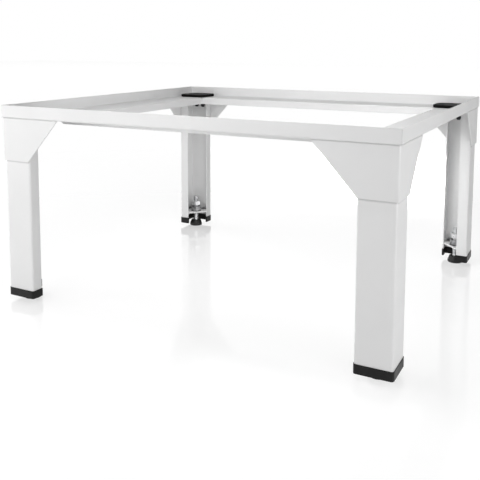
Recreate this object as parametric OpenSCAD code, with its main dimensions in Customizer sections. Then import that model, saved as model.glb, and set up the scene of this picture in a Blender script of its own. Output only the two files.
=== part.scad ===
// Raised floor stand for a washing machine, in millimetres.
// A square-cornered frame of four mitred sheet-metal rails holds the machine
// inside its rim, on four rubber pads. An angled bracket under each corner
// carries an open C-section leg, and each leg ends in a plastic edge cap round
// a threaded levelling foot.
// Origin: floor level, under the middle of the frame. X runs to the right
// along the front, Y to the back, Z up.

/* [Frame] */
// Width of the frame over the rims, left to right
frame_w = 600; // [450:1:800]
// Depth of the frame over the rims, front to back
frame_d = 540; // [420:1:700]
// Height of the rim's top edge above the floor
stand_h = 298; // [220:1:500]

/* [Rails] */
// Height of the upright rim, down to the shelf's underside
rim_h = 19; // [14:0.5:40]
// Width of the shelf, from the rim's outer face to the lip's free face
shelf_w = 64; // [58:0.5:90]
// Height of the turned-down lip below the shelf's underside
lip_h = 12; // [6:0.5:25]
// Sheet thickness of the rails
rail_t = 1.5; // [1:0.1:2]
// Outer radius of the rails' two bends
rail_bend_r = 3; // [2.5:0.1:5]
// Width of the open seam between two mitred rails
mitre_seam = 0.4; // [0.2:0.1:1]

/* [Corner brackets] */
// Sheet thickness of a bracket
bracket_t = 2; // [1.5:0.1:3]
// Distance from the rim's outer face back to the bracket's outer face
bracket_inset = 1.2; // [0.5:0.1:3]
// Height of a bracket below the shelf
bracket_h = 63.5; // [45:0.5:90]
// Length of a bracket's wing along its top edge
wing_top = 106; // [85:1:150]
// Length of a bracket's wing along its bottom edge
wing_foot = 48.5; // [44:0.5:80]
// Outer radius of the bracket's folded corner
bracket_bend_r = 3; // [3:0.1:4]

/* [Legs] */
// Outer width of the square C-section
leg_w = 47; // [42:0.5:58]
// Width of the two return flanges beside the open corner
leg_flange = 18; // [10:0.5:22]
// Sheet thickness of a leg
leg_t = 1.5; // [1:0.1:2]
// Outer radius of the leg's folds
leg_bend_r = 3; // [2.5:0.1:5]
// Clearance between a leg and the bracket and shelf round it
leg_gap = 0.3; // [0.1:0.1:0.6]

/* [Edge caps] */
// Height of a cap
cap_h = 12; // [8:0.5:20]
// Thickness of the cap's walls, on both sides of the leg's sheet
cap_wall = 0.9; // [0.6:0.1:1.5]
// Thickness of plastic under the leg's cut edge
cap_base = 2; // [1:0.1:4]
// Clearance between a cap's walls and the leg's sheet
cap_gap = 0.1; // [0.05:0.05:0.3]

/* [Foot plates and weld nuts] */
// Thickness of the plate across the leg
plate_t = 3; // [2:0.1:5]
// Height of the plate's top above the cap's bottom
plate_rise = 24; // [20:0.5:40]
// Width across the flats of the weld nut
weld_nut_af = 17; // [15:0.5:19]
// Height of the weld nut
weld_nut_h = 10; // [6:0.5:14]

/* [Levelling feet] */
// Diameter of the threaded bolt
bolt_d = 10; // [8:1:12]
// Height of the bolt's tip above the foot plate
bolt_rise = 32; // [28:0.5:60]
// Turning clearance of the bolt in its nuts and its foot, on the radius
thread_gap = 0.05; // [0.02:0.01:0.1]
// Clearance of the bolt in the foot plate's hole, on the radius
plate_hole_gap = 0.5; // [0.2:0.1:1]
// Width across the flats of the lock nut
lock_nut_af = 17; // [15:0.5:19]
// Height of the lock nut
lock_nut_h = 8; // [5:0.5:10]
// How far the lock nut stands above the weld nut
lock_nut_rise = 3.5; // [1:0.5:6]
// Distance from the floor up to the cap's bottom
foot_drop = 7; // [3:0.5:12]
// Height of the foot
foot_h = 12; // [8:0.5:16]
// Diameter of the foot where it stands on the floor
foot_base_d = 26; // [22:0.5:32]
// Diameter of the foot's top
foot_top_d = 20; // [16:0.5:22]
// Height of the foot's straight lower band
foot_band_h = 5; // [2:0.5:6]
// Thickness of the foot's sole under the bolt
foot_sole = 4; // [2:0.5:6]
// End clearance between the bolt and the foot's sole
sole_gap = 0.3; // [0.1:0.1:0.5]

/* [Bracket studs and nuts] */
// Diameter of the studs that hold the leg in its bracket
stud_d = 5; // [4:0.5:6]
// Clearance of a stud in the leg's hole, on the radius
stud_hole_gap = 0.25; // [0.1:0.05:0.5]
// Depth of the studs' centres below the rim's top edge
stud_depth = 38.5; // [36:0.5:50]
// Distance from the rim's outer side face to the first stud
stud_first = 18; // [14:0.5:20]
// Distance between the two studs
stud_pitch = 15; // [12:0.5:18]
// Width across the flats of the stud nuts
stud_nut_af = 8; // [7:0.5:10]
// Height of the stud nuts
stud_nut_h = 4; // [3:0.5:6]
// How far a stud stands out of its nut
stud_tip = 1.5; // [0.5:0.5:4]

/* [Corner pads] */
// Side of the square rubber pad
pad_w = 58; // [40:1:64]
// Thickness of the pad
pad_t = 5; // [2:0.5:10]
// Radius of the pad's corners
pad_r = 15; // [4:0.5:18]
// Bevel round the pad's top edge
pad_bevel = 0.8; // [0.2:0.1:1.5]
// Distance from the rim's outer faces to the pad
pad_inset = 11; // [5:0.5:14]

/* [Hidden] */
$fn = 64;
hex_sides = 6;
// reach of a cut past the face that it starts from
over = 1;

shelf_z = stand_h - rim_h;
half_w = frame_w / 2;
half_d = frame_d / 2;

bracket_in = bracket_inset + bracket_t;
leg_inset = bracket_in + leg_gap;
leg_mid = leg_inset + leg_w / 2;
leg_foot_z = foot_drop + cap_base;
leg_top_z = shelf_z - leg_gap;

plate_top_z = foot_drop + plate_rise;
weld_nut_top_z = plate_top_z + weld_nut_h;
lock_nut_z = weld_nut_top_z + lock_nut_rise;
bolt_r = bolt_d / 2;
bolt_foot_z = foot_sole + sole_gap;
bolt_tip_z = plate_top_z + bolt_rise;
bolt_chamfer = bolt_d / 10;

stud_z = stand_h - stud_depth;
stud_nut_y = leg_inset + leg_t;
stud_end_y = stud_nut_y + stud_nut_h + stud_tip;

// chamfer of a hexagon nut's corners, as a share of its width
nut_chamfer_share = 0.06;
// rounding of the foot's top edge and of its bottom edge
foot_edge = 0.8;

// Places its children at one corner of the frame. They are drawn for the
// corner at the origin, with both axes running inwards along the rims.
// side: -1 left, 1 right; end: -1 front, 1 back.
module at_corner(side, end) {
    translate([side * half_w, end * half_d, 0])
        flip_x(side > 0)
            flip_y(end > 0)
                children();
}

module flip_x(on) {
    if (on)
        mirror([1, 0, 0])
            children();
    else
        children();
}

module flip_y(on) {
    if (on)
        mirror([0, 1, 0])
            children();
    else
        children();
}

// Quarter of a ring about the origin, in the quadrant of the two signs.
module quarter_ring(r_out, r_in, sx, sy) {
    intersection() {
        difference() {
            circle(r = r_out);
            circle(r = r_in);
        }
        translate([sx < 0 ? -r_out : 0, sy < 0 ? -r_out : 0])
            square(r_out);
    }
}

// Square from one corner to the opposite one, with rounded corners.
module rounded_square(low, high, r) {
    difference() {
        translate([low, low])
            square(high - low);
        for (cx = [0, 1], cy = [0, 1])
            translate([cx == 0 ? low : high, cy == 0 ? low : high])
                rotate(90 * (cx == cy ? 2 * cx : (cx == 1 ? 1 : 3)))
                    corner_spandrel(r);
    }
}

// The bit outside a rounded corner, at the origin, for the quadrant +X +Y.
module corner_spandrel(r) {
    difference() {
        translate([-over, -over])
            square(r + over);
        translate([r, r])
            circle(r = r);
    }
}

// Hexagon nut standing on the origin, with chamfered corners and a bore.
module hex_nut(af, h, bore_r, chamfer_low) {
    corner_r = af / 2 / cos(180 / hex_sides);
    chamfer = af * nut_chamfer_share;
    low = chamfer_low ? chamfer : 0;
    difference() {
        intersection() {
            cylinder(r = corner_r, h = h, $fn = hex_sides);
            rotate_extrude()
                polygon([
                    [0, 0],
                    [corner_r - low, 0],
                    [corner_r, low * tan(30)],
                    [corner_r, h - chamfer * tan(30)],
                    [corner_r - chamfer, h],
                    [0, h]
                ]);
        }
        translate([0, 0, -over])
            cylinder(r = bore_r, h = h + 2 * over);
    }
}

// Section of a rail: X runs inwards from the rim's outer face, Y up from the
// shelf's underside.
module rail_section() {
    inner_r = rail_bend_r - rail_t;
    translate([0, rail_bend_r])
        square([rail_t, rim_h - rail_bend_r]);
    translate([rail_bend_r, rail_bend_r])
        quarter_ring(rail_bend_r, inner_r, -1, -1);
    translate([rail_bend_r, 0])
        square([shelf_w - 2 * rail_bend_r, rail_t]);
    translate([shelf_w - rail_bend_r, rail_t - rail_bend_r])
        quarter_ring(rail_bend_r, inner_r, 1, 1);
    translate([shelf_w - rail_t, -lip_h])
        square([rail_t, lip_h + rail_t - rail_bend_r]);
}

// One rail of the given length, mitred at both ends. turn faces its rim
// outwards, and reach is the rim's distance from the middle of the frame.
module rail(length, reach, turn) {
    slack = mitre_seam / sqrt(2);
    depth = shelf_w + over;
    half = length / 2;
    color("white")
        rotate([0, 0, turn])
            translate([0, -reach, shelf_z])
                intersection() {
                    translate([-half, 0, 0])
                        rotate([90, 0, 90])
                            linear_extrude(height = length)
                                rail_section();
                    translate([0, 0, -lip_h - over])
                        linear_extrude(height = lip_h + rim_h + 2 * over)
                            polygon([
                                [-half - over + slack, -over],
                                [half + over - slack, -over],
                                [half - depth - slack, depth],
                                [-half + depth + slack, depth]
                            ]);
                }
}

// Folded L-shaped bracket, whose wings taper towards their bottom edge.
module bracket(side, end) {
    low = bracket_inset;
    inner_r = bracket_bend_r - bracket_t;
    taper = wing_top - wing_foot;
    color("white")
        at_corner(side, end)
            translate([low, low, shelf_z - bracket_h])
                difference() {
                    linear_extrude(height = bracket_h)
                        difference() {
                            square(wing_top);
                            corner_spandrel(bracket_bend_r);
                            difference() {
                                translate([bracket_t, bracket_t])
                                    square(wing_top);
                                translate([bracket_t, bracket_t])
                                    corner_spandrel(inner_r);
                            }
                        }
                    // slanted free edge of the wing along X
                    translate([0, bracket_t + over, 0])
                        rotate([90, 0, 0])
                            linear_extrude(height = bracket_t + 2 * over)
                                wing_cut(taper);
                    // slanted free edge of the wing along Y
                    translate([-over, 0, 0])
                        rotate([90, 0, 90])
                            linear_extrude(height = bracket_t + 2 * over)
                                wing_cut(taper);
                }
}

// What is cut off a wing beyond its slanted free edge.
module wing_cut(taper) {
    slope = taper / bracket_h;
    polygon([
        [wing_foot - slope * over, -over],
        [wing_top + slope * over, bracket_h + over],
        [wing_top + taper, bracket_h + over],
        [wing_top + taper, -over]
    ]);
}

// Open C-section: a square tube without its inner corner. grow thickens the
// sheet by the same amount on each side and past its two free edges.
module leg_section(grow) {
    difference() {
        rounded_square(-grow, leg_w + grow, leg_bend_r + grow);
        rounded_square(leg_t + grow, leg_w - leg_t - grow, max(leg_bend_r - leg_t - grow, 0.1));
        translate([leg_flange + grow, leg_flange + grow])
            square(leg_w);
    }
}

module leg(side, end) {
    color("white")
        at_corner(side, end)
            difference() {
                translate([leg_inset, leg_inset, leg_foot_z])
                    linear_extrude(height = leg_top_z - leg_foot_z)
                        leg_section(0);
                for (i = [0, 1])
                    translate([stud_first + i * stud_pitch, leg_inset - over, stud_z])
                        rotate([-90, 0, 0])
                            cylinder(r = stud_d / 2 + stud_hole_gap, h = leg_t + 2 * over);
            }
}

// The two studs, welded to the inner face of the bracket.
module leg_studs(side, end) {
    color("dimgray")
        at_corner(side, end)
            for (i = [0, 1])
                translate([stud_first + i * stud_pitch, bracket_in, stud_z])
                    rotate([-90, 0, 0])
                        cylinder(r = stud_d / 2, h = stud_end_y - bracket_in);
}

// The two nuts that clamp the leg on its studs.
module leg_nuts(side, end) {
    color("black")
        at_corner(side, end)
            for (i = [0, 1])
                translate([stud_first + i * stud_pitch, stud_nut_y, stud_z])
                    rotate([-90, 0, 0])
                        hex_nut(stud_nut_af, stud_nut_h, stud_d / 2 + thread_gap, false);
}

// Plastic channel pushed over the leg's cut edge.
module leg_cap(side, end) {
    color("dimgray")
        at_corner(side, end)
            translate([leg_inset, leg_inset, foot_drop])
                difference() {
                    linear_extrude(height = cap_h)
                        leg_section(cap_gap + cap_wall);
                    translate([0, 0, cap_base])
                        linear_extrude(height = cap_h)
                            leg_section(cap_gap);
                }
}

// Plate across the leg, cut off straight between the two flanges.
module foot_plate(side, end) {
    wall = leg_w - leg_t;
    color("white")
        at_corner(side, end)
            translate([leg_inset, leg_inset, plate_top_z - plate_t])
                linear_extrude(height = plate_t)
                    difference() {
                        translate([leg_t, leg_t])
                            polygon([
                                [0, 0],
                                [wall - leg_t, 0],
                                [wall - leg_t, leg_flange - leg_t],
                                [leg_flange - leg_t, wall - leg_t],
                                [0, wall - leg_t]
                            ]);
                        translate([leg_t, leg_t])
                            corner_spandrel(leg_bend_r);
                        translate([wall, leg_t])
                            rotate(90)
                                corner_spandrel(leg_bend_r);
                        translate([leg_t, wall])
                            rotate(-90)
                                corner_spandrel(leg_bend_r);
                        translate([leg_w / 2, leg_w / 2])
                            circle(r = bolt_r + plate_hole_gap);
                    }
}

// Nut welded on the plate, in which the foot's bolt turns.
module weld_nut(side, end) {
    color("gainsboro")
        at_corner(side, end)
            translate([leg_mid, leg_mid, plate_top_z])
                hex_nut(weld_nut_af, weld_nut_h, bolt_r + thread_gap, false);
}

// Loose nut that locks the bolt when it is run down on the weld nut.
module lock_nut(side, end) {
    color("silver")
        at_corner(side, end)
            translate([leg_mid, leg_mid, lock_nut_z])
                hex_nut(lock_nut_af, lock_nut_h, bolt_r + thread_gap, true);
}

// Threaded bolt, drawn without its thread.
module foot_bolt(side, end) {
    color("silver")
        at_corner(side, end)
            translate([leg_mid, leg_mid, bolt_foot_z]) {
                cylinder(r = bolt_r, h = bolt_tip_z - bolt_foot_z - bolt_chamfer);
                translate([0, 0, bolt_tip_z - bolt_foot_z - bolt_chamfer])
                    cylinder(r1 = bolt_r, r2 = bolt_r - bolt_chamfer, h = bolt_chamfer);
            }
}

// Plastic foot with a socket for the bolt's end.
module foot(side, end) {
    base_r = foot_base_d / 2;
    top_r = foot_top_d / 2;
    socket_r = bolt_r + thread_gap;
    color("black")
        at_corner(side, end)
            translate([leg_mid, leg_mid, 0])
                rotate_extrude()
                    polygon([
                        [0, 0],
                        [base_r - foot_edge, 0],
                        [base_r, foot_edge],
                        [base_r, foot_band_h],
                        [top_r, foot_h - foot_edge],
                        [top_r - foot_edge, foot_h],
                        [socket_r, foot_h],
                        [socket_r, foot_sole],
                        [0, foot_sole]
                    ]);
}

// Section of a bevelled bar of the pad's width, lying on the X axis.
module pad_section() {
    half = pad_w / 2;
    polygon([
        [-half, 0],
        [half, 0],
        [half, pad_t - pad_bevel],
        [half - pad_bevel, pad_t],
        [-half + pad_bevel, pad_t],
        [-half, pad_t - pad_bevel]
    ]);
}

// Rubber pad in the corner of the shelf.
module corner_pad(side, end) {
    centre = pad_inset + pad_w / 2;
    post = pad_w / 2 - pad_r;
    color("black")
        at_corner(side, end)
            translate([centre, centre, shelf_z + rail_t])
                union() {
                    translate([-post, 0, 0])
                        rotate([90, 0, 90])
                            linear_extrude(height = 2 * post)
                                pad_section();
                    translate([0, post, 0])
                        rotate([90, 0, 0])
                            linear_extrude(height = 2 * post)
                                pad_section();
                    for (px = [-post, post], py = [-post, post])
                        translate([px, py, 0]) {
                            cylinder(r = pad_r, h = pad_t - pad_bevel);
                            translate([0, 0, pad_t - pad_bevel])
                                cylinder(r1 = pad_r, r2 = pad_r - pad_bevel, h = pad_bevel);
                        }
                }
}

rail(frame_w, half_d, 0);  // rail_front
rail(frame_w, half_d, 180);  // rail_back
rail(frame_d, half_w, -90);  // rail_left
rail(frame_d, half_w, 90);  // rail_right

bracket(-1, -1);  // bracket_front_left
bracket(1, -1);  // bracket_front_right
bracket(-1, 1);  // bracket_back_left
bracket(1, 1);  // bracket_back_right

leg(-1, -1);  // leg_front_left
leg(1, -1);  // leg_front_right
leg(-1, 1);  // leg_back_left
leg(1, 1);  // leg_back_right

leg_studs(-1, -1);  // leg_studs_front_left
leg_studs(1, -1);  // leg_studs_front_right
leg_studs(-1, 1);  // leg_studs_back_left
leg_studs(1, 1);  // leg_studs_back_right

leg_nuts(-1, -1);  // leg_nuts_front_left
leg_nuts(1, -1);  // leg_nuts_front_right
leg_nuts(-1, 1);  // leg_nuts_back_left
leg_nuts(1, 1);  // leg_nuts_back_right

leg_cap(-1, -1);  // leg_cap_front_left
leg_cap(1, -1);  // leg_cap_front_right
leg_cap(-1, 1);  // leg_cap_back_left
leg_cap(1, 1);  // leg_cap_back_right

foot_plate(-1, -1);  // foot_plate_front_left
foot_plate(1, -1);  // foot_plate_front_right
foot_plate(-1, 1);  // foot_plate_back_left
foot_plate(1, 1);  // foot_plate_back_right

weld_nut(-1, -1);  // weld_nut_front_left
weld_nut(1, -1);  // weld_nut_front_right
weld_nut(-1, 1);  // weld_nut_back_left
weld_nut(1, 1);  // weld_nut_back_right

lock_nut(-1, -1);  // lock_nut_front_left
lock_nut(1, -1);  // lock_nut_front_right
lock_nut(-1, 1);  // lock_nut_back_left
lock_nut(1, 1);  // lock_nut_back_right

foot_bolt(-1, -1);  // foot_bolt_front_left
foot_bolt(1, -1);  // foot_bolt_front_right
foot_bolt(-1, 1);  // foot_bolt_back_left
foot_bolt(1, 1);  // foot_bolt_back_right

foot(-1, -1);  // foot_front_left
foot(1, -1);  // foot_front_right
foot(-1, 1);  // foot_back_left
foot(1, 1);  // foot_back_right

corner_pad(-1, -1);  // corner_pad_front_left
corner_pad(1, -1);  // corner_pad_front_right
corner_pad(-1, 1);  // corner_pad_back_left
corner_pad(1, 1);  // corner_pad_back_right
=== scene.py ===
import math
from functools import partial

import bmesh
import bpy
from mathutils import Euler, Matrix, Vector


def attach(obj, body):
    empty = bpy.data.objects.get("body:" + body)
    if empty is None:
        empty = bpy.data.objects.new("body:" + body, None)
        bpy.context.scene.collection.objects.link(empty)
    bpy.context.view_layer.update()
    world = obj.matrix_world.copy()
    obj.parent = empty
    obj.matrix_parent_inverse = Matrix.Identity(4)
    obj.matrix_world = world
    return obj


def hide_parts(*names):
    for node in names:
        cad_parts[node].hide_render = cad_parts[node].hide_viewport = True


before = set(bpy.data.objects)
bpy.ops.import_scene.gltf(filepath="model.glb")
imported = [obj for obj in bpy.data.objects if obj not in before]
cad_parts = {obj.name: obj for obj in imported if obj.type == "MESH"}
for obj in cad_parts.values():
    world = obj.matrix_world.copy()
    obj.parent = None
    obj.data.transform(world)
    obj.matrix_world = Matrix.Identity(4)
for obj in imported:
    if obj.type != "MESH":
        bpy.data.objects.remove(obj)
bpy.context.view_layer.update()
print("stand: frame loaded,", len(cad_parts), "CAD nodes")

scene = bpy.context.scene
scene.view_settings.view_transform = "Standard"

corners = {  # which way each corner lies from the middle: X, Y
    "front_left": (-1, -1),
    "front_right": (1, -1),
    "back_left": (-1, 1),
    "back_right": (1, 1),
}
stand = {  # sizes shared by several pieces, in metres
    "halfWidth": 0.300,
    "halfDepth": 0.270,
    "legMiddle": (0.273, 0.243),
    "bracketBottom": 0.2155,
    "shelfUnderside": 0.279,
    "shelfTop": 0.2805,
    "plateTop": 0.031,
}


def atCorner(corner, place):
    # a place given by its distances from the middle of the stand
    sideX, sideY = corners[corner]
    return sideX * place[0], sideY * place[1]


def inFromCorner(corner, u, v, z):
    # u and v run inwards from the rim's outer corner
    return (*atCorner(corner, (stand["halfWidth"] - u, stand["halfDepth"] - v)), z)


def newObject(name, data):
    made = bpy.data.objects.new(name, data)
    scene.collection.objects.link(made)
    return made


# the photograph's viewpoint
viewpoint = {
    "place": (0.484707, -1.005039, 0.387345),
    "yaw": 27.543,
    "pitch": -6.054,
    "roll": 0.179,
    "lens": 51.355,
    "sensor": 36,
    "shiftY": -0.2542,
}


def addCamera(v):
    cameraData = bpy.data.cameras.new("photoCamera")
    cameraData.lens = v["lens"]
    cameraData.sensor_width = v["sensor"]
    cameraData.shift_y = v["shiftY"]
    camera = newObject("photoCamera", cameraData)
    turn = Euler((math.radians(90 + v["pitch"]), 0, math.radians(v["yaw"])))
    roll = Matrix.Rotation(math.radians(v["roll"]), 4, "Z")
    camera.matrix_world = Matrix.Translation(v["place"]) @ turn.to_matrix().to_4x4() @ roll
    scene.camera = camera


addCamera(viewpoint)
print("stand: camera set")


# small helpers for node trees
def feed(tree, socket, source):
    # a source is another node's socket or a plain value
    if isinstance(source, bpy.types.NodeSocket):
        tree.links.new(source, socket)
    else:
        socket.default_value = source


def addNode(tree, kind, inputs=None, **settings):
    # inputs go by their label or their number
    node = tree.nodes.new(kind)
    for key, value in settings.items():
        setattr(node, key, value)
    for key, source in (inputs or {}).items():
        feed(tree, node.inputs[key], source)
    return node


def mathNode(tree, operation, *sources):
    inputs = dict(enumerate(sources))
    return addNode(tree, "ShaderNodeMath", inputs, operation=operation).outputs[0]


def product(tree, first, *others):
    for other in others:
        first = mathNode(tree, "MULTIPLY", first, other)
    return first


def rampNode(tree, value, low=0.0, high=1.0, start=0.0, end=1.0, kind="SMOOTHSTEP"):
    # goes from start to end while the value goes from low to high
    inputs = dict(enumerate((value, low, high, start, end)))
    return addNode(tree, "ShaderNodeMapRange", inputs, interpolation_type=kind).outputs[0]


def splitNode(tree, place):
    return addNode(tree, "ShaderNodeSeparateXYZ", {0: place}).outputs


def grey(value):
    return (value, value, value, 1)


def newTree(name, kind, inputs, outputs):
    tree = bpy.data.node_groups.new(name, kind)
    for label, socketType, value in inputs:
        socket = tree.interface.new_socket(label, in_out="INPUT", socket_type=socketType)
        if value is not None:
            socket.default_value = value
    for label, socketType in outputs:
        tree.interface.new_socket(label, in_out="OUTPUT", socket_type=socketType)
    return tree, addNode(tree, "NodeGroupInput").outputs, addNode(tree, "NodeGroupOutput").inputs


# soft studio light
studioLight = {
    "world": {"ambient": 0.08, "backdrop": 1.0},
    "lamps": {  # place and aim in metres, size across and up, spread in degrees
        "leftSoftbox": {
            "place": (-1.6, 0.2, 0.9), "aim": (-0.1, 0.0, 0.15),
            "size": (1.0, 1.0), "watts": 10.0, "spread": 180,
        },
        "lowLeftSoftbox": {
            "place": (-1.3, -0.9, 0.35), "aim": (-0.2, 0.0, 0.15),
            "size": (0.6, 0.6), "watts": 6.0, "spread": 180,
        },
        "frontSoftbox": {
            "place": (1.0, -1.5, 0.5), "aim": (0.1, 0.0, 0.15),
            "size": (0.7, 0.7), "watts": 3.4, "spread": 180,
        },
        "rimStrip": {
            "place": (-0.25, -0.85, 0.36), "aim": (-0.12, -0.27, 0.29),
            "size": (0.5, 0.12), "watts": 1.5, "spread": 180,
        },
        "rightSoftbox": {
            "place": (1.3, -0.3, 0.25), "aim": (0.2, -0.05, 0.15),
            "size": (0.7, 0.7), "watts": 4.5, "spread": 180,
        },
        "rightStrip": {
            "place": (1.0, -0.75, 0.4), "aim": (0.28, -0.2, 0.2),
            "size": (0.35, 0.6), "watts": 1.55, "spread": 180,
        },
        "innerSoftbox": {
            "place": (0.1, -0.25, 0.65), "aim": (0.03, 0.3, 0.1),
            "size": (0.4, 0.3), "watts": 1.55, "spread": 180,
        },
        "cornerGrid": {
            "place": (-0.08, -0.22, 0.5), "aim": (0.285, 0.24, 0.125),
            "size": (0.1, 0.1), "watts": 0.036, "spread": 29,
        },
        "backSoftbox": {
            "place": (-0.5, 1.7, 0.16), "aim": (0.0, 0.0, 0.15),
            "size": (1.0, 0.2), "watts": 5.5, "spread": 180,
        },
    },
}


def addLamps(lamps):
    for lampName, lamp in lamps.items():
        lampData = bpy.data.lights.new(lampName, "AREA")
        lampData.shape = "RECTANGLE"
        lampData.size, lampData.size_y = lamp["size"]
        lampData.energy = lamp["watts"]
        lampData.spread = math.radians(lamp["spread"])
        lampObject = newObject(lampName, lampData)
        lampObject.location = lamp["place"]
        aim = Vector(lamp["aim"]) - Vector(lamp["place"])
        lampObject.rotation_euler = aim.to_track_quat("-Z", "Y").to_euler()


def seenNode(tree):
    # 1 where the camera sees the surface, itself, mirrored or through glass
    path = addNode(tree, "ShaderNodeLightPath").outputs
    direct = mathNode(tree, "MAXIMUM", path["Is Camera Ray"], path["Is Glossy Ray"])
    return mathNode(tree, "MAXIMUM", direct, path["Is Transmission Ray"])


def addWorld(w):
    world = bpy.data.worlds.new("whiteStudio")
    scene.world = world
    world.use_nodes = True
    tree = world.node_tree
    tree.nodes.clear()
    ambient, backdrop = (
        addNode(tree, "ShaderNodeBackground", {"Color": grey(1.0), "Strength": w[label]}).outputs[0]
        for label in ("ambient", "backdrop")
    )
    mix = addNode(tree, "ShaderNodeMixShader", {0: seenNode(tree), 1: ambient, 2: backdrop})
    addNode(tree, "ShaderNodeOutputWorld", {"Surface": mix.outputs[0]})


addLamps(studioLight["lamps"])
addWorld(studioLight["world"])
print("stand: lamps and world set")


# what the shared surface effects are made of
def objectPlace(tree):
    return addNode(tree, "ShaderNodeTexCoord").outputs["Object"]


def noiseNode(tree, place, scale, detail, roughness=0.5):
    inputs = {"Vector": place, "Scale": scale, "Detail": detail, "Roughness": roughness}
    return addNode(tree, "ShaderNodeTexNoise", inputs).outputs["Fac"]


def mixValues(tree, share, first, second):
    inputs = {0: share, 2: first, 3: second}
    return addNode(tree, "ShaderNodeMix", inputs, data_type="FLOAT").outputs[0]


def mixColours(tree, share, first, second):
    inputs = {0: share, 6: first, 7: second}
    return addNode(tree, "ShaderNodeMix", inputs, data_type="RGBA").outputs[2]


def depthNodes(tree, xyz, given):
    # how far inside the rims' outer faces a point lies, along X and along Y
    calc = partial(mathNode, tree)
    u = calc("SUBTRACT", given["Half Width"], calc("ABSOLUTE", xyz["X"]))
    v = calc("SUBTRACT", given["Half Depth"], calc("ABSOLUTE", xyz["Y"]))
    return u, v


# effects that several finishes share
def makeToneDrift():
    # slow changes between two colours, as patches
    tree, given, out = newTree(
        "toneDrift",
        "ShaderNodeTree",
        [
            ("Light Colour", "NodeSocketColor", grey(0.8)),
            ("Dark Colour", "NodeSocketColor", grey(0.6)),
            ("Patch Scale", "NodeSocketFloat", 12.0),
            ("Threshold", "NodeSocketFloat", 0.5),
            ("Softness", "NodeSocketFloat", 0.3),
        ],
        [("Colour", "NodeSocketColor")],
    )
    noise = noiseNode(tree, objectPlace(tree), given["Patch Scale"], detail=4)
    low = mathNode(tree, "SUBTRACT", given["Threshold"], given["Softness"])
    high = mathNode(tree, "ADD", given["Threshold"], given["Softness"])
    patches = rampNode(tree, noise, low, high)
    colours = given["Light Colour"], given["Dark Colour"]
    feed(tree, out["Colour"], mixColours(tree, patches, *colours))
    return tree


def makeSkinGrain():
    # fine grain on slow waves: orange peel, moulded texture, plating
    tree, given, out = newTree(
        "skinGrain",
        "ShaderNodeTree",
        [
            ("Grain Scale", "NodeSocketFloat", 900.0),
            ("Wave Scale", "NodeSocketFloat", 200.0),
            ("Wave Share", "NodeSocketFloat", 0.6),
            ("Depth", "NodeSocketFloat", 0.00002),
        ],
        [("Normal", "NodeSocketVector")],
    )
    place = objectPlace(tree)
    grain = noiseNode(tree, place, given["Grain Scale"], detail=2)
    wave = noiseNode(tree, place, given["Wave Scale"], detail=1)
    height = mixValues(tree, given["Wave Share"], grain, wave)
    bump = addNode(tree, "ShaderNodeBump", {"Height": height, "Distance": given["Depth"]})
    feed(tree, out["Normal"], bump.outputs["Normal"])
    return tree


def makeHandlingMarks():
    # fine rubbed streaks that change how glossy the surface is
    tree, given, out = newTree(
        "handlingMarks",
        "ShaderNodeTree",
        [
            ("Streak Scale", "NodeSocketFloat", 60.0),
            ("Stretch", "NodeSocketVector", (1.0, 1.0, 8.0)),
            ("Smooth", "NodeSocketFloat", 0.3),
            ("Rubbed", "NodeSocketFloat", 0.5),
        ],
        [("Roughness", "NodeSocketFloat")],
    )
    factors = {0: objectPlace(tree), 1: given["Stretch"]}
    stretched = addNode(tree, "ShaderNodeVectorMath", factors, operation="MULTIPLY").outputs[0]
    noise = noiseNode(tree, stretched, given["Streak Scale"], detail=5, roughness=0.6)
    streaks = rampNode(tree, noise, low=0.35, high=0.7, kind="LINEAR")
    feed(tree, out["Roughness"], mixValues(tree, streaks, given["Smooth"], given["Rubbed"]))
    return tree


def makeWeldScaleAndShade():
    # weld scale and painted shade: darker grey on the inner side of a leg, round the welds of its
    # plate, in the corner where its walls meet the plate
    tree, given, out = newTree(
        "weldScaleAndShade",
        "ShaderNodeTree",
        [
            ("Colour", "NodeSocketColor", grey(0.8)),
            ("Scale And Shade Colour", "NodeSocketColor", grey(0.2)),
            ("Weld Height", "NodeSocketFloat", stand["plateTop"]),
            ("Reach", "NodeSocketFloat", 0.012),
            ("Half Width", "NodeSocketFloat", stand["halfWidth"]),
            ("Half Depth", "NodeSocketFloat", stand["halfDepth"]),
            ("Wall Inset", "NodeSocketFloat", 0.0046),
            ("Inner Limit", "NodeSocketFloat", 0.0475),
            ("Patch Scale", "NodeSocketFloat", 150.0),
        ],
        [("Colour", "NodeSocketColor")],
    )
    calc = partial(mathNode, tree)
    place = objectPlace(tree)
    xyz = splitNode(tree, place)
    u, v = depthNodes(tree, xyz, given)
    fromWall = calc("SUBTRACT", calc("MINIMUM", u, v), given["Wall Inset"])
    inside = calc("GREATER_THAN", fromWall, 0.0)
    inLeg = calc("LESS_THAN", calc("MAXIMUM", u, v), given["Inner Limit"])
    fromWeld = calc("ABSOLUTE", calc("SUBTRACT", xyz["Z"], given["Weld Height"]))
    nearWall = rampNode(tree, fromWall, high=given["Reach"], start=1.0, end=0.0)
    nearWeld = rampNode(tree, fromWeld, high=given["Reach"], start=1.0, end=0.0)
    noise = noiseNode(tree, place, given["Patch Scale"], detail=3)
    patches = rampNode(tree, noise, low=0.3, high=0.6, kind="LINEAR")
    mask = product(tree, inside, inLeg, nearWall, nearWeld, patches)
    feed(tree, out["Colour"], mixColours(tree, mask, given["Colour"], given["Scale And Shade Colour"]))
    return tree


shadeLineWaver = {  # the painted shade line's lower edge: shares of its reach, and the noise that moves it
    "core": 0.35,
    "least": 0.55,
    "added": 0.9,
    "scale": 70,
    "overlap": 0.0002,  # metres above the edge, so that no gap shows
}


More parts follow.
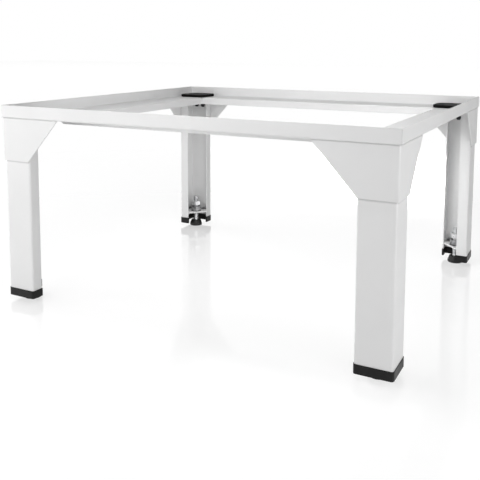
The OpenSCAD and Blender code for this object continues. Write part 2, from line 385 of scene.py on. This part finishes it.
def makePaintedShadeLine(waver):
    # painted shade under an edge that stands proud of an outer face: a darker band on the face
    # below, standing in for the edge's shadow
    tree, given, out = newTree(
        "paintedShadeLine",
        "ShaderNodeTree",
        [
            ("Colour", "NodeSocketColor", grey(0.8)),
            ("Shade Colour", "NodeSocketColor", grey(0.6)),
            ("Edge Height", "NodeSocketFloat", stand["bracketBottom"]),
            ("Reach", "NodeSocketFloat", 0.003),
            ("Half Width", "NodeSocketFloat", stand["halfWidth"]),
            ("Half Depth", "NodeSocketFloat", stand["halfDepth"]),
            ("Skin Depth", "NodeSocketFloat", 0.0042),
        ],
        [("Colour", "NodeSocketColor")],
    )
    calc = partial(mathNode, tree)
    place = objectPlace(tree)
    xyz = splitNode(tree, place)
    u, v = depthNodes(tree, xyz, given)
    onSkin = calc("LESS_THAN", calc("MINIMUM", u, v), given["Skin Depth"])
    noise = noiseNode(tree, place, waver["scale"], detail=3)
    share = calc("ADD", calc("MULTIPLY", noise, waver["added"]), waver["least"])
    below = calc("SUBTRACT", given["Edge Height"], xyz["Z"])
    under = calc("GREATER_THAN", below, -waver["overlap"])
    core = calc("MULTIPLY", given["Reach"], waver["core"])
    fade = rampNode(tree, below, core, calc("MULTIPLY", given["Reach"], share), start=1.0, end=0.0)
    mask = product(tree, onSkin, under, fade)
    feed(tree, out["Colour"], mixColours(tree, mask, given["Colour"], given["Shade Colour"]))
    return tree


toneDrift = makeToneDrift()
skinGrain = makeSkinGrain()
handlingMarks = makeHandlingMarks()
weldScaleAndShade = makeWeldScaleAndShade()
paintedShadeLine = makePaintedShadeLine(shadeLineWaver)
print("stand: shared surface effects built")


# one material for each finish
def makeFinish(name, f):
    material = bpy.data.materials.new(name)
    material.use_nodes = True
    tree = material.node_tree
    skin = tree.nodes["Principled BSDF"]
    tone = addNode(tree, "ShaderNodeGroup", f["tone"], node_tree=toneDrift)
    grain = addNode(tree, "ShaderNodeGroup", f["grain"], node_tree=skinGrain)
    marks = addNode(tree, "ShaderNodeGroup", f["marks"], node_tree=handlingMarks)
    colour = tone.outputs["Colour"]
    # adds weld scale with painted shade, then painted shade under proud edges, to the colour
    for label, group in (("haze", weldScaleAndShade), ("seam", paintedShadeLine)):
        if label in f:
            inputs = {**f[label], "Colour": colour}
            colour = addNode(tree, "ShaderNodeGroup", inputs, node_tree=group).outputs["Colour"]
    feed(tree, skin.inputs["Base Color"], colour)
    feed(tree, skin.inputs["Normal"], grain.outputs["Normal"])
    feed(tree, skin.inputs["Roughness"], marks.outputs["Roughness"])
    for label, value in f["skin"].items():
        skin.inputs[label].default_value = value
    return material


whiteCoat = {
    "tone": {
        "Light Colour": grey(0.83), "Dark Colour": grey(0.80),
        "Patch Scale": 9.0, "Threshold": 0.5, "Softness": 0.25,
    },
    "grain": {"Grain Scale": 1400.0, "Wave Scale": 420.0, "Wave Share": 0.7, "Depth": 0.00003},
    "marks": {"Streak Scale": 14.0, "Stretch": (1.0, 1.0, 3.0), "Smooth": 0.42, "Rubbed": 0.55},
    "skin": {"IOR": 1.5, "Specular IOR Level": 0.5},
}
# weld scale with painted shade in the corners round each leg's plate
plateScaleAndShade = {
    "Scale And Shade Colour": grey(0.16),
    "Weld Height": stand["plateTop"],
    "Reach": 0.015,
    "Patch Scale": 150.0,
}
# painted shadow on the legs, under the brackets' lower edges
bracketFootShadow = {
    "Shade Colour": grey(0.57),
    "Edge Height": stand["bracketBottom"],
    "Reach": 0.0034,
}
# painted shadow on the brackets, under the rims
rimFootShadow = {
    "Shade Colour": grey(0.72),
    "Edge Height": stand["shelfUnderside"],
    "Reach": 0.0016,
    "Skin Depth": 0.0017,
}
whitePowderCoat = makeFinish("whitePowderCoat", whiteCoat)
# the legs carry painted shade under the brackets, the brackets painted shade under the rims
legCoatPaintedShade = makeFinish("legCoatPaintedShade", {
    **whiteCoat, "haze": plateScaleAndShade, "seam": bracketFootShadow,
})
bracketCoatPaintedShade = makeFinish("bracketCoatPaintedShade", {**whiteCoat, "seam": rimFootShadow})
padRubber = makeFinish("padRubber", {
    "tone": {
        "Light Colour": grey(0.007), "Dark Colour": grey(0.0035),
        "Patch Scale": 60.0, "Threshold": 0.5, "Softness": 0.2,
    },
    "grain": {"Grain Scale": 2600.0, "Wave Scale": 500.0, "Wave Share": 0.35, "Depth": 0.00006},
    "marks": {"Streak Scale": 90.0, "Stretch": (1.0, 1.0, 1.0), "Smooth": 0.5, "Rubbed": 0.75},
    "skin": {"IOR": 1.45, "Specular IOR Level": 0.05},
})
capPlastic = makeFinish("capPlastic", {
    "tone": {
        "Light Colour": grey(0.018), "Dark Colour": grey(0.0115),
        "Patch Scale": 45.0, "Threshold": 0.5, "Softness": 0.25,
    },
    "grain": {"Grain Scale": 2200.0, "Wave Scale": 600.0, "Wave Share": 0.4, "Depth": 0.00004},
    "marks": {"Streak Scale": 120.0, "Stretch": (1.0, 1.0, 0.4), "Smooth": 0.34, "Rubbed": 0.5},
    "skin": {"IOR": 1.5, "Specular IOR Level": 0.12},
})
footPlastic = makeFinish("footPlastic", {
    "tone": {
        "Light Colour": grey(0.014), "Dark Colour": grey(0.008),
        "Patch Scale": 80.0, "Threshold": 0.5, "Softness": 0.2,
    },
    "grain": {"Grain Scale": 2600.0, "Wave Scale": 700.0, "Wave Share": 0.5, "Depth": 0.00003},
    "marks": {"Streak Scale": 150.0, "Stretch": (1.0, 1.0, 0.3), "Smooth": 0.3, "Rubbed": 0.48},
    "skin": {"IOR": 1.5, "Specular IOR Level": 0.25},
})
zincPlate = makeFinish("zincPlate", {
    "tone": {
        "Light Colour": (0.72, 0.72, 0.725, 1), "Dark Colour": (0.54, 0.545, 0.555, 1),
        "Patch Scale": 160.0, "Threshold": 0.52, "Softness": 0.18,
    },
    "grain": {"Grain Scale": 3000.0, "Wave Scale": 900.0, "Wave Share": 0.5, "Depth": 0.00001},
    "marks": {"Streak Scale": 220.0, "Stretch": (1.0, 1.0, 0.25), "Smooth": 0.27, "Rubbed": 0.44},
    "skin": {"Metallic": 1.0},
})
rawSteel = makeFinish("rawSteel", {  # the weld nut, dulled by the heat
    "tone": {
        "Light Colour": (0.42, 0.42, 0.425, 1), "Dark Colour": (0.17, 0.17, 0.175, 1),
        "Patch Scale": 140.0, "Threshold": 0.5, "Softness": 0.22,
    },
    "grain": {"Grain Scale": 2600.0, "Wave Scale": 800.0, "Wave Share": 0.5, "Depth": 0.00002},
    "marks": {"Streak Scale": 200.0, "Stretch": (1.0, 1.0, 1.0), "Smooth": 0.42, "Rubbed": 0.62},
    "skin": {"Metallic": 0.85},
})
burntWeld = makeFinish("burntWeld", {  # bead with its dark scale
    "tone": {
        "Light Colour": (0.16, 0.16, 0.165, 1), "Dark Colour": (0.045, 0.045, 0.047, 1),
        "Patch Scale": 220.0, "Threshold": 0.5, "Softness": 0.2,
    },
    "grain": {"Grain Scale": 2400.0, "Wave Scale": 700.0, "Wave Share": 0.5, "Depth": 0.00003},
    "marks": {"Streak Scale": 260.0, "Stretch": (1.0, 1.0, 1.0), "Smooth": 0.45, "Rubbed": 0.7},
    "skin": {"Metallic": 0.55},
})
blackenedSteel = makeFinish("blackenedSteel", {
    "tone": {
        "Light Colour": (0.045, 0.045, 0.048, 1), "Dark Colour": (0.02, 0.02, 0.021, 1),
        "Patch Scale": 300.0, "Threshold": 0.5, "Softness": 0.2,
    },
    "grain": {"Grain Scale": 3500.0, "Wave Scale": 1100.0, "Wave Share": 0.5, "Depth": 0.00001},
    "marks": {"Streak Scale": 400.0, "Stretch": (1.0, 1.0, 1.0), "Smooth": 0.32, "Rubbed": 0.5},
    "skin": {"Metallic": 0.7},
})
print("stand: finishes ready")


# pieces that keep the CAD shape get soft edges and smooth bends
softEdge = {  # edge radius in metres
    "sheet": {"radius": 0.00022, "steps": 2},
    "plastic": {"radius": 0.00035, "steps": 3},
}
cadCopy = {  # a gap in metres, and angles in degrees
    "mergedGap": 1e-6,
    "flatUpTo": 0.4,
    "edgeFrom": 32,
}


def settleMesh(obj):
    # bakes the modifiers into the mesh
    bpy.context.view_layer.update()
    evaluated = obj.evaluated_get(bpy.context.evaluated_depsgraph_get())
    mesh = bpy.data.meshes.new_from_object(evaluated)
    obj.modifiers.clear()
    obj.data = mesh
    mesh.name = obj.name


def oneSlot(mesh, finish):
    mesh.materials.clear()
    mesh.materials.append(finish)
    for face in mesh.polygons:
        face.material_index = 0


def smoothMesh(work, name, finish):
    # turns the bmesh into a mesh, and ends it
    mesh = bpy.data.meshes.new(name)
    work.to_mesh(mesh)
    work.free()
    oneSlot(mesh, finish)
    for face in mesh.polygons:
        face.use_smooth = True
    return mesh


def softCopy(nodeName, pieceName, body, edge, finish):
    work = bmesh.new()
    work.from_mesh(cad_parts[nodeName].data)
    bmesh.ops.remove_doubles(work, verts=work.verts, dist=cadCopy["mergedGap"])
    flat = math.radians(cadCopy["flatUpTo"])
    bmesh.ops.dissolve_limit(work, angle_limit=flat, verts=work.verts, edges=work.edges)
    piece = newObject(pieceName, smoothMesh(work, pieceName, finish))
    bevel = piece.modifiers.new("softEdge", "BEVEL")
    bevel.width = edge["radius"]
    bevel.segments = edge["steps"]
    bevel.limit_method = "ANGLE"
    bevel.angle_limit = math.radians(cadCopy["edgeFrom"])
    bevel.harden_normals = True
    weighted = piece.modifiers.new("flatFaces", "WEIGHTED_NORMAL")
    weighted.keep_sharp = True
    settleMesh(piece)
    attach(piece, body)
    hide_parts(nodeName)


for side in ("front", "back", "left", "right"):
    softCopy(f"rail_{side}", f"railSheet_{side}", "frame", softEdge["sheet"],
             whitePowderCoat)
for corner in corners:
    softCopy(f"bracket_{corner}", f"bracketSheet_{corner}", "frame", softEdge["sheet"],
             bracketCoatPaintedShade)
    softCopy(f"leg_{corner}", f"legSheet_{corner}", "frame", softEdge["sheet"],
             legCoatPaintedShade)
    softCopy(f"leg_cap_{corner}", f"edgeCap_{corner}", "frame", softEdge["plastic"],
             capPlastic)
print("stand: rails, brackets, legs and caps dressed")


# the plates stay as the CAD has them
for corner in corners:
    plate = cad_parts[f"foot_plate_{corner}"]
    plate.data.materials.clear()
    plate.data.materials.append(legCoatPaintedShade)
print("stand: foot plates painted")


# threads, nuts and weld beads repeat, so node trees make them
grownForm = {
    "sharpFrom": 25,  # degrees between two faces
    "crestAndRoot": (0.15, 0.85),  # flat shares of a thread's slope
    "nutSteps": 8,  # rings of a nut's section, from the bore's foot round to its foot
    "mergedGap": 1e-6,
    "cutsPerRipple": 4.0,
    "beadTip": 0.35,  # a bead's thickness at its ends
    "beadSides": 10,
}


def finishTree(tree, mesh, points, given, out):
    # sharp edges, one copy on each point, real geometry, and the finish
    smooth = addNode(tree, "GeometryNodeSetShadeSmooth", {"Geometry": mesh})
    bend = addNode(tree, "GeometryNodeInputMeshEdgeAngle").outputs["Unsigned Angle"]
    compared = {0: bend, 1: math.radians(grownForm["sharpFrom"])}
    isSharp = addNode(tree, "FunctionNodeCompare", compared,
                      data_type="FLOAT", operation="GREATER_THAN")
    shape = addNode(tree, "GeometryNodeSetShadeSmooth", {
        "Geometry": smooth.outputs[0],
        "Selection": isSharp.outputs["Result"],
        "Shade Smooth": False,
    }, domain="EDGE").outputs[0]
    if points is not None:
        lean = addNode(tree, "FunctionNodeEulerToRotation", {0: given["Lean"]}).outputs[0]
        copies = {"Points": points, "Instance": shape, "Rotation": lean}
        shape = addNode(tree, "GeometryNodeInstanceOnPoints", copies).outputs["Instances"]
    real = addNode(tree, "GeometryNodeRealizeInstances", {"Geometry": shape}).outputs[0]
    painted = {"Geometry": real, "Material": given["Finish"]}
    feed(tree, out["Geometry"], addNode(tree, "GeometryNodeSetMaterial", painted).outputs[0])


def placeNode(tree, mesh, x, y, z):
    # puts each point of the mesh somewhere else
    place = addNode(tree, "ShaderNodeCombineXYZ", {"X": x, "Y": y, "Z": z}).outputs[0]
    inputs = {"Geometry": mesh, "Position": place}
    return addNode(tree, "GeometryNodeSetPosition", inputs).outputs[0]


def makeThreadedRod():
    # a rod with a right-handed thread, standing on each point
    tree, given, out = newTree(
        "threadedRod",
        "GeometryNodeTree",
        [
            ("Geometry", "NodeSocketGeometry", None),
            ("Radius", "NodeSocketFloat", 0.005),
            ("Length", "NodeSocketFloat", 0.05),
            ("Pitch", "NodeSocketFloat", 0.0015),
            ("Depth", "NodeSocketFloat", 0.0009),
            ("Plain Length", "NodeSocketFloat", 0.0),
            ("Chamfer", "NodeSocketFloat", 0.001),
            ("Sides", "NodeSocketInt", 28),
            ("Steps", "NodeSocketFloat", 8.0),
            ("Lean", "NodeSocketVector", (0.0, 0.0, 0.0)),
            ("Finish", "NodeSocketMaterial", None),
        ],
        [("Geometry", "NodeSocketGeometry")],
    )
    calc = partial(mathNode, tree)
    turns = calc("DIVIDE", given["Length"], given["Pitch"])
    rod = addNode(tree, "GeometryNodeMeshCylinder", {
        "Vertices": given["Sides"],
        "Side Segments": calc("ROUND", calc("MULTIPLY", turns, given["Steps"])),
        "Radius": given["Radius"],
        "Depth": given["Length"],
    }, fill_type="NGON")
    xyz = splitNode(tree, addNode(tree, "GeometryNodeInputPosition").outputs[0])
    height = calc("ADD", xyz["Z"], calc("MULTIPLY", given["Length"], 0.5))
    turned = calc("DIVIDE", calc("ARCTAN2", xyz["Y"], xyz["X"]), 2 * math.pi)
    phase = calc("SUBTRACT", calc("DIVIDE", height, given["Pitch"]), turned)
    wave = calc("MULTIPLY", calc("PINGPONG", phase, 0.5), 2.0)
    groove = rampNode(tree, wave, *grownForm["crestAndRoot"], kind="LINEAR")
    threadedPart = calc("SUBTRACT", height, given["Plain Length"])
    run = calc("DIVIDE", threadedPart, given["Pitch"])
    begun = addNode(tree, "ShaderNodeClamp", {"Value": run}).outputs[0]
    cut = product(tree, groove, given["Depth"], begun)
    threaded = calc("SUBTRACT", given["Radius"], cut)
    endRadius = calc("SUBTRACT", given["Radius"], given["Chamfer"])
    nearestEnd = calc("MINIMUM", calc("SUBTRACT", given["Length"], height), height)
    radius = calc("MINIMUM", threaded, calc("ADD", endRadius, nearestEnd))
    share = calc("DIVIDE", radius, given["Radius"])
    x, y = calc("MULTIPLY", xyz["X"], share), calc("MULTIPLY", xyz["Y"], share)
    shape = placeNode(tree, rod.outputs["Mesh"], x, y, height)
    finishTree(tree, shape, given["Geometry"], given, out)
    return tree


def makeHexNut():
    # a hexagon nut with turned corners and a countersunk bore, standing on each point
    tree, given, out = newTree(
        "hexNut",
        "GeometryNodeTree",
        [
            ("Geometry", "NodeSocketGeometry", None),
            ("Across Flats", "NodeSocketFloat", 0.017),
            ("Height", "NodeSocketFloat", 0.008),
            ("Bore Radius", "NodeSocketFloat", 0.00505),
            ("Countersink", "NodeSocketFloat", 0.0006),
            ("Corner Turning", "NodeSocketFloat", 0.06),
            ("Turned Below", "NodeSocketFloat", 1.0),
            ("Sides", "NodeSocketInt", 48),
            ("Lean", "NodeSocketVector", (0.0, 0.0, 0.0)),
            ("Finish", "NodeSocketMaterial", None),
        ],
        [("Geometry", "NodeSocketGeometry")],
    )
    calc = partial(mathNode, tree)
    flatTurn = math.radians(60)  # from one flat of the hexagon to the next
    steps = grownForm["nutSteps"]
    shell = addNode(tree, "GeometryNodeMeshCylinder", {
        "Vertices": given["Sides"],
        "Side Segments": steps,
        "Radius": 1.0,
        "Depth": float(steps),
    }, fill_type="NONE")
    xyz = splitNode(tree, addNode(tree, "GeometryNodeInputPosition").outputs[0])
    ring = calc("ROUND", calc("ADD", xyz["Z"], steps / 2))
    angle = calc("ARCTAN2", xyz["Y"], xyz["X"])
    fromFlat = calc("SUBTRACT", calc("FLOORED_MODULO", angle, flatTurn), flatTurn / 2)
    halfFlats = calc("MULTIPLY", given["Across Flats"], 0.5)
    hexRadius = calc("DIVIDE", halfFlats, calc("COSINE", fromFlat))
    cornerRadius = calc("DIVIDE", halfFlats, math.cos(flatTurn / 2))
    turning = calc("MULTIPLY", given["Across Flats"], given["Corner Turning"])
    faceRadius = calc("SUBTRACT", cornerRadius, turning)
    beyond = calc("MAXIMUM", calc("SUBTRACT", hexRadius, faceRadius), 0.0)
    fall = calc("MULTIPLY", beyond, math.tan(math.radians(30)))  # the usual 30 degree chamfer
    edgeRadius = calc("MINIMUM", hexRadius, faceRadius)
    footRadius = mixValues(tree, given["Turned Below"], hexRadius, edgeRadius)
    bore, sink, top = given["Bore Radius"], given["Countersink"], given["Height"]
    mouth = calc("ADD", bore, sink)
    section = [  # radius and height of each ring
        (bore, sink),
        (mouth, 0.0),
        (footRadius, 0.0),
        (hexRadius, calc("MULTIPLY", fall, given["Turned Below"])),
        (hexRadius, calc("SUBTRACT", top, fall)),
        (edgeRadius, top),
        (mouth, top),
        (bore, calc("SUBTRACT", top, sink)),
        (bore, sink),
    ]
    picks = []
    for column in (0, 1):
        pick = addNode(tree, "GeometryNodeIndexSwitch", {"Index": ring}, data_type="FLOAT")
        while len(pick.index_switch_items) < len(section):
            pick.index_switch_items.new()
        for number, row in enumerate(section):
            feed(tree, pick.inputs[1 + number], row[column])
        picks.append(pick.outputs[0])
    radius, height = picks
    x = calc("MULTIPLY", calc("COSINE", angle), radius)
    y = calc("MULTIPLY", calc("SINE", angle), radius)
    closed = addNode(tree, "GeometryNodeMergeByDistance", {
        "Geometry": placeNode(tree, shell.outputs["Mesh"], x, y, height),
        "Distance": grownForm["mergedGap"],
    })
    finishTree(tree, closed.outputs["Geometry"], given["Geometry"], given, out)
    return tree


def makeWeldBead():
    # a rippled bead along each line of edges
    tree, given, out = newTree(
        "weldBead",
        "GeometryNodeTree",
        [
            ("Geometry", "NodeSocketGeometry", None),
            ("Radius", "NodeSocketFloat", 0.0013),
            ("Ripple Pitch", "NodeSocketFloat", 0.0013),
            ("Ripple Share", "NodeSocketFloat", 0.3),
            ("Unevenness", "NodeSocketFloat", 0.25),
            ("Seed", "NodeSocketInt", 7),
            ("Finish", "NodeSocketMaterial", None),
        ],
        [("Geometry", "NodeSocketGeometry")],
    )
    calc = partial(mathNode, tree)
    line = addNode(tree, "GeometryNodeMeshToCurve", {"Mesh": given["Geometry"]})
    even = addNode(tree, "GeometryNodeResampleCurve", {
        "Curve": line.outputs["Curve"],
        "Length": calc("DIVIDE", given["Ripple Pitch"], grownForm["cutsPerRipple"]),
    }, mode="LENGTH")
    along = addNode(tree, "GeometryNodeSplineParameter").outputs["Length"]
    whole = addNode(tree, "GeometryNodeSplineLength").outputs["Length"]
    toEnd = calc("MINIMUM", along, calc("SUBTRACT", whole, along))
    ending = rampNode(tree, toEnd, high=given["Radius"], start=grownForm["beadTip"])
    phase = calc("DIVIDE", along, given["Ripple Pitch"])
    ripple = calc("MULTIPLY", calc("PINGPONG", phase, 0.5), 2.0)
    hollow = calc("MULTIPLY", calc("POWER", ripple, 2.0), given["Ripple Share"])
    waved = calc("SUBTRACT", 1.0, hollow)
    random = addNode(tree, "FunctionNodeRandomValue", {"Seed": given["Seed"]}, data_type="FLOAT")
    uneven = calc("SUBTRACT", 1.0, calc("MULTIPLY", random.outputs[1], given["Unevenness"]))
    radius = calc("MULTIPLY", uneven, given["Radius"])
    circle = addNode(tree, "GeometryNodeCurvePrimitiveCircle", {
        "Resolution": grownForm["beadSides"],
        "Radius": 1.0,
    }, mode="RADIUS")
    swept = addNode(tree, "GeometryNodeCurveToMesh", {
        "Curve": even.outputs["Curve"],
        "Profile Curve": circle.outputs["Curve"],
        "Scale": calc("MULTIPLY", calc("MULTIPLY", waved, ending), radius),
        "Fill Caps": True,
    })
    finishTree(tree, swept.outputs["Mesh"], None, given, out)
    return tree


threadedRod = makeThreadedRod()
hexNut = makeHexNut()
weldBead = makeWeldBead()
print("stand: node trees built")


def treeInput(tree, label):
    for item in tree.interface.items_tree:
        if item.item_type == "SOCKET" and item.in_out == "INPUT" and item.name == label:
            return item.identifier
    raise KeyError(label)


def grownPiece(pieceName, tree, sizes, finish, points, edges=()):
    mesh = bpy.data.meshes.new(pieceName)
    mesh.from_pydata(points, list(edges), [])
    piece = newObject(pieceName, mesh)
    grow = piece.modifiers.new(tree.name, "NODES")
    grow.node_group = tree
    for label, value in {**sizes, "Finish": finish}.items():
        grow[treeInput(tree, label)] = value
    settleMesh(piece)
    oneSlot(piece.data, finish)
    return piece


# levelling feet: bolt, weld nut, lock nut
footBolt = {
    "Radius": 0.005, "Length": 0.0587, "Pitch": 0.0015, "Depth": 0.00085,
    "Plain Length": 0.0085, "Chamfer": 0.001, "Sides": 32, "Steps": 8.0,
}
weldNut = {
    "Across Flats": 0.017, "Height": 0.010, "Bore Radius": 0.00505, "Countersink": 0.0007,
    "Corner Turning": 0.06, "Turned Below": 0.0,
}
lockNut = {**weldNut, "Height": 0.008, "Turned Below": 1.0}
footLevel = {"bolt": 0.0043, "weldNut": stand["plateTop"], "lockNut": 0.0445}  # lower ends
for corner in corners:
    for pieceName, tree, sizes, level, finish, body, nodeName in (
        ("threadedBolt", threadedRod, footBolt, "bolt", zincPlate, f"bolt_{corner}", "foot_bolt"),
        ("plateNut", hexNut, weldNut, "weldNut", rawSteel, "frame", "weld_nut"),
        ("jamNut", hexNut, lockNut, "lockNut", zincPlate, f"locking_{corner}", "lock_nut"),
    ):
        place = (*atCorner(corner, stand["legMiddle"]), footLevel[level])
        piece = grownPiece(f"{pieceName}_{corner}", tree, sizes, finish, [place])
        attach(piece, body)
        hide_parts(f"{nodeName}_{corner}")
print("stand: bolts and nuts of the feet made")


# studs and nuts that hold the legs
legStud = {
    "Radius": 0.0025, "Length": 0.0073, "Pitch": 0.0008, "Depth": 0.00045,
    "Plain Length": 0.0, "Chamfer": 0.0004, "Sides": 20, "Steps": 8.0,
}
studNut = {
    "Across Flats": 0.008, "Height": 0.004, "Bore Radius": 0.00255, "Countersink": 0.0003,
    "Corner Turning": 0.06, "Turned Below": 0.0,
}
studRow = {"across": (0.018, 0.033), "depth": 0.0032, "nutDepth": 0.005, "height": 0.2595}
for corner, (_, sideY) in corners.items():
    lean = {"Lean": (math.radians(90 * sideY), 0.0, 0.0)}  # they point inwards along Y
    for pieceName, tree, sizes, depth, nodeName in (
        ("threadedStuds", threadedRod, legStud, studRow["depth"], "leg_studs"),
        ("studNuts", hexNut, studNut, studRow["nutDepth"], "leg_nuts"),
    ):
        places = [inFromCorner(corner, u, depth, studRow["height"]) for u in studRow["across"]]
        piece = grownPiece(f"{pieceName}_{corner}", tree, {**sizes, **lean}, blackenedSteel, places)
        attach(piece, "frame")
        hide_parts(f"{nodeName}_{corner}")
print("stand: leg studs and nuts made")


# weld beads
shelfBead = {
    "Radius": 0.0014, "Ripple Pitch": 0.0014, "Ripple Share": 0.3,
    "Unevenness": 0.25, "Seed": 7,
}
plateBead = {**shelfBead, "Radius": 0.0015, "Seed": 11}
beadLines = {  # start and end of each stitch: u, v inwards from the corner, and z
    "bracketToShelf": [
        ((0.0034, 0.058, 0.2788), (0.0034, 0.074, 0.2788)),
        ((0.0034, 0.086, 0.2788), (0.0034, 0.102, 0.2788)),
        ((0.058, 0.0034, 0.2788), (0.074, 0.0034, 0.2788)),
        ((0.086, 0.0034, 0.2788), (0.102, 0.0034, 0.2788)),
    ],
    "lipMitre": [
        ((0.0623, 0.0623, 0.2685), (0.0623, 0.0623, 0.2775)),
    ],
    "plateToLeg": [
        ((0.0052, 0.010, 0.0311), (0.0052, 0.047, 0.0311)),
        ((0.010, 0.0052, 0.0311), (0.047, 0.0052, 0.0311)),
    ],
}
nutRing = {"radius": 0.0093, "height": 0.0309, "sides": 36}  # bead round the weld nut


def circlePoints(centre, radius, sides):
    angles = [2 * math.pi * k / sides for k in range(sides)]
    return [(centre[0] + radius * math.cos(a), centre[1] + radius * math.sin(a)) for a in angles]


def beadsOn(pieceName, lines, sizes, finish, ring=None):
    points, edges = [], []
    for corner in corners:
        for start, end in lines:
            edges.append((len(points), len(points) + 1))
            points += [inFromCorner(corner, *start), inFromCorner(corner, *end)]
        if ring:
            first, count = len(points), ring["sides"]
            edges += [(first + k, first + (k + 1) % count) for k in range(count)]
            circle = circlePoints(atCorner(corner, stand["legMiddle"]), ring["radius"], count)
            points += [(x, y, ring["height"]) for x, y in circle]
    piece = grownPiece(pieceName, weldBead, sizes, finish, points, edges)
    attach(piece, "frame")


shelfLines = beadLines["bracketToShelf"] + beadLines["lipMitre"]
beadsOn("shelfWelds", shelfLines, shelfBead, whitePowderCoat)
beadsOn("plateWelds", beadLines["plateToLeg"], plateBead, burntWeld, nutRing)
print("stand: weld beads laid")


# rings of points joined to a closed skin, for the feet and the pads
skinSharpFrom = 50  # degrees


def joinRings(work, rings, count):
    # a ring of one point is a pole
    for low, high in zip(rings, rings[1:]):
        for k in range(count):
            n = (k + 1) % count
            below = [low[k % len(low)], low[n % len(low)]]
            above = [high[n % len(high)], high[k % len(high)]]
            work.faces.new(list(dict.fromkeys(below + above)))


def skinPiece(work, pieceName, finish):
    bmesh.ops.recalc_face_normals(work, faces=work.faces)
    mesh = smoothMesh(work, pieceName, finish)
    mesh.set_sharp_from_angle(angle=math.radians(skinSharpFrom))
    return newObject(pieceName, mesh)


# the turned foot of each bolt
footShape = {
    "sides": 56,
    "section": [  # radius and height, outside from the sole up, then down the socket
        (0.0, 0.0), (0.0108, 0.0), (0.0122, 0.00012), (0.0129, 0.0008), (0.0130, 0.0014),
        (0.0130, 0.0044), (0.01285, 0.0049), (0.01010, 0.0107), (0.00975, 0.0115),
        (0.0090, 0.0119), (0.0082, 0.0120), (0.0056, 0.0120), (0.00515, 0.0118),
        (0.00505, 0.0114), (0.00505, 0.0042), (0.0048, 0.0040), (0.0, 0.0040),
    ],
}


def turnedPiece(pieceName, shape, centre, finish):
    work = bmesh.new()
    rings = []
    for radius, height in shape["section"]:
        circle = circlePoints(centre, radius, shape["sides"]) if radius else [centre]
        rings.append([work.verts.new((x, y, height)) for x, y in circle])
    joinRings(work, rings, shape["sides"])
    return skinPiece(work, pieceName, finish)


for corner in corners:
    centre = atCorner(corner, stand["legMiddle"])
    piece = turnedPiece(f"levelFoot_{corner}", footShape, centre, footPlastic)
    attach(piece, f"leveller_{corner}")
    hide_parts(f"foot_{corner}")
print("stand: feet turned")


# rubber pads on the shelf
padShape = {
    "half": 0.029,
    "corner": 0.015,
    "cornerSteps": 10,
    "middle": (0.260, 0.230),
    "section": [  # inset from the outline and height above the shelf
        (0.0004, 0.0), (0.0, 0.0004), (0.0, 0.0042), (0.00006, 0.0045),
        (0.00023, 0.00476), (0.0005, 0.00494), (0.0008, 0.0050), (0.010, 0.0050),
    ],
}


def roundedOutline(half, corner, steps, middle):
    points = []
    for quarter in range(4):
        centreX = middle[0] + (half - corner) * (1 if quarter in (0, 3) else -1)
        centreY = middle[1] + (half - corner) * (1 if quarter in (0, 1) else -1)
        for k in range(steps + 1):
            angle = math.radians(90 * (quarter + k / steps))
            points.append((centreX + corner * math.cos(angle), centreY + corner * math.sin(angle)))
    return points


def mouldedPad(pieceName, shape, middle, floorZ, finish):
    work = bmesh.new()
    rings = []
    for inset, height in shape["section"]:
        half, corner = shape["half"] - inset, shape["corner"] - inset
        outline = roundedOutline(half, corner, shape["cornerSteps"], middle)
        rings.append([work.verts.new((x, y, floorZ + height)) for x, y in outline])
    joinRings(work, rings, len(rings[0]))
    work.faces.new(rings[-1])
    work.faces.new(list(reversed(rings[0])))
    return skinPiece(work, pieceName, finish)


for corner in corners:
    middle = atCorner(corner, padShape["middle"])
    piece = mouldedPad(f"rubberPad_{corner}", padShape, middle, stand["shelfTop"], padRubber)
    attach(piece, "frame")
    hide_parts(f"corner_pad_{corner}")
print("stand: rubber pads moulded")


# the white floor
studioFloor = {
    "reach": 12.0,
    "drop": 0.0002,
    "seenTone": 0.40,  # how much of the light, and so of the shadows, the camera sees on it
    "whiteness": 0.75,  # white added for the camera
    "bounce": 0.88,  # tone for the light that it sends back up
    "roughness": 0.08,
    "polish": 1.45,  # index of the clear coat that mirrors the legs
    "grazing": 1.8,  # how fast the mirroring fades towards a steep view
    "mirror": 4.5,  # and how strong it is
}


def addFloor(f):
    mesh = bpy.data.meshes.new("studioFloor")
    r, z = f["reach"], -f["drop"]
    mesh.from_pydata([(-r, -r, z), (r, -r, z), (r, r, z), (-r, r, z)], [], [(0, 1, 2, 3)])
    floor = newObject("studioFloor", mesh)
    material = bpy.data.materials.new("glossyFloor")
    material.use_nodes = True
    tree = material.node_tree
    tree.nodes.remove(tree.nodes["Principled BSDF"])
    calc = partial(mathNode, tree)

    def shader(kind, inputs):
        return addNode(tree, kind, inputs).outputs[0]

    lit = shader("ShaderNodeBsdfDiffuse", {"Color": grey(f["seenTone"])})
    white = shader("ShaderNodeEmission", {"Strength": f["whiteness"]})
    base = shader("ShaderNodeAddShader", {0: lit, 1: white})
    coat = {"Color": grey(1.0), "Roughness": f["roughness"]}
    polish = shader("ShaderNodeBsdfGlossy", coat)
    fresnel = shader("ShaderNodeFresnel", {"IOR": f["polish"]})
    mirrored = calc("MULTIPLY", calc("POWER", fresnel, f["grazing"]), f["mirror"])
    share = calc("MINIMUM", mirrored, 1.0)
    seen = shader("ShaderNodeMixShader", {0: share, 1: base, 2: polish})
    bounce = shader("ShaderNodeBsdfDiffuse", {"Color": grey(f["bounce"])})
    either = shader("ShaderNodeMixShader", {0: seenNode(tree), 1: bounce, 2: seen})
    feed(tree, tree.nodes["Material Output"].inputs["Surface"], either)
    mesh.materials.append(material)


addFloor(studioFloor)
print("stand: floor laid")
